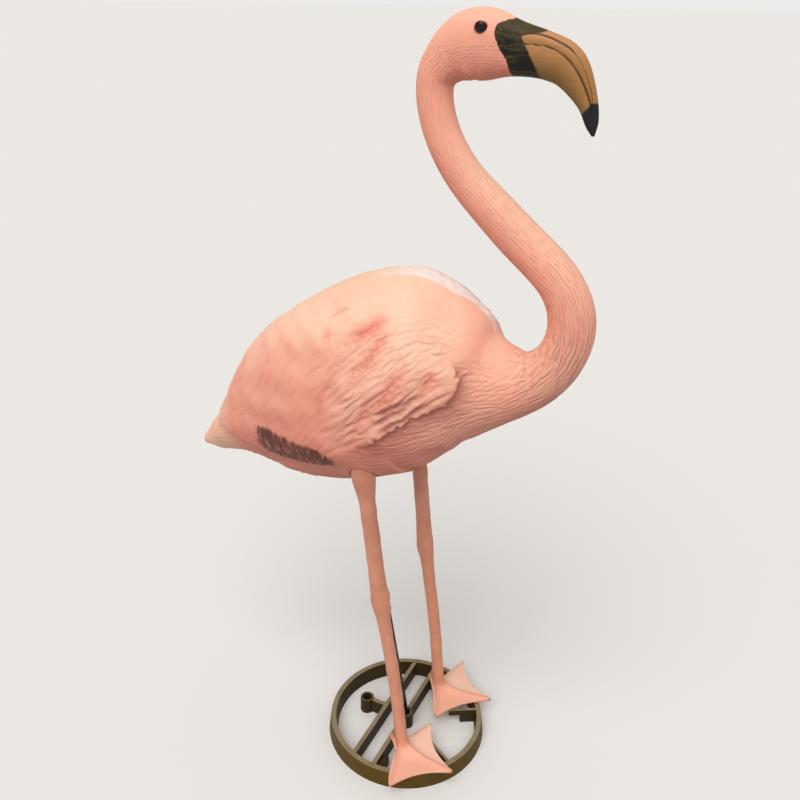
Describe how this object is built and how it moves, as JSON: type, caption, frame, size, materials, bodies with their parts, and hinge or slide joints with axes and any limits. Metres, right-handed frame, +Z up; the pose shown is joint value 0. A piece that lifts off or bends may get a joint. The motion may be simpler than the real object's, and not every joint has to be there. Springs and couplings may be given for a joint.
{
  "type": "flamingo pond figure",
  "caption": "Standing flamingo garden figure in moulded plastic on two webbed feet, with a support rod and an open round base ring.",
  "frame": {"origin": "middle of the base ring's underside, on the ground", "axes": "+Z up, +X the way the bird faces, +Y the bird's left"},
  "size_m": [0.4714, 0.232, 0.8701],
  "materials": {
    "pink_plastic": "satin salmon pink paint over moulded feathers, beak painted tan and black",
    "leg_pink_plastic": "satin pink, browner than the body",
    "rod_black": "plain black-brown",
    "olive_brown_plastic": "olive brown moulded plastic with a paler worn rim"
  },
  "bodies": {
    "root": {"body": "pink_plastic", "right_leg": "leg_pink_plastic", "left_leg": "leg_pink_plastic", "support_rod": "rod_black", "base_ring": "olive_brown_plastic"}
  },
  "joints": []
}
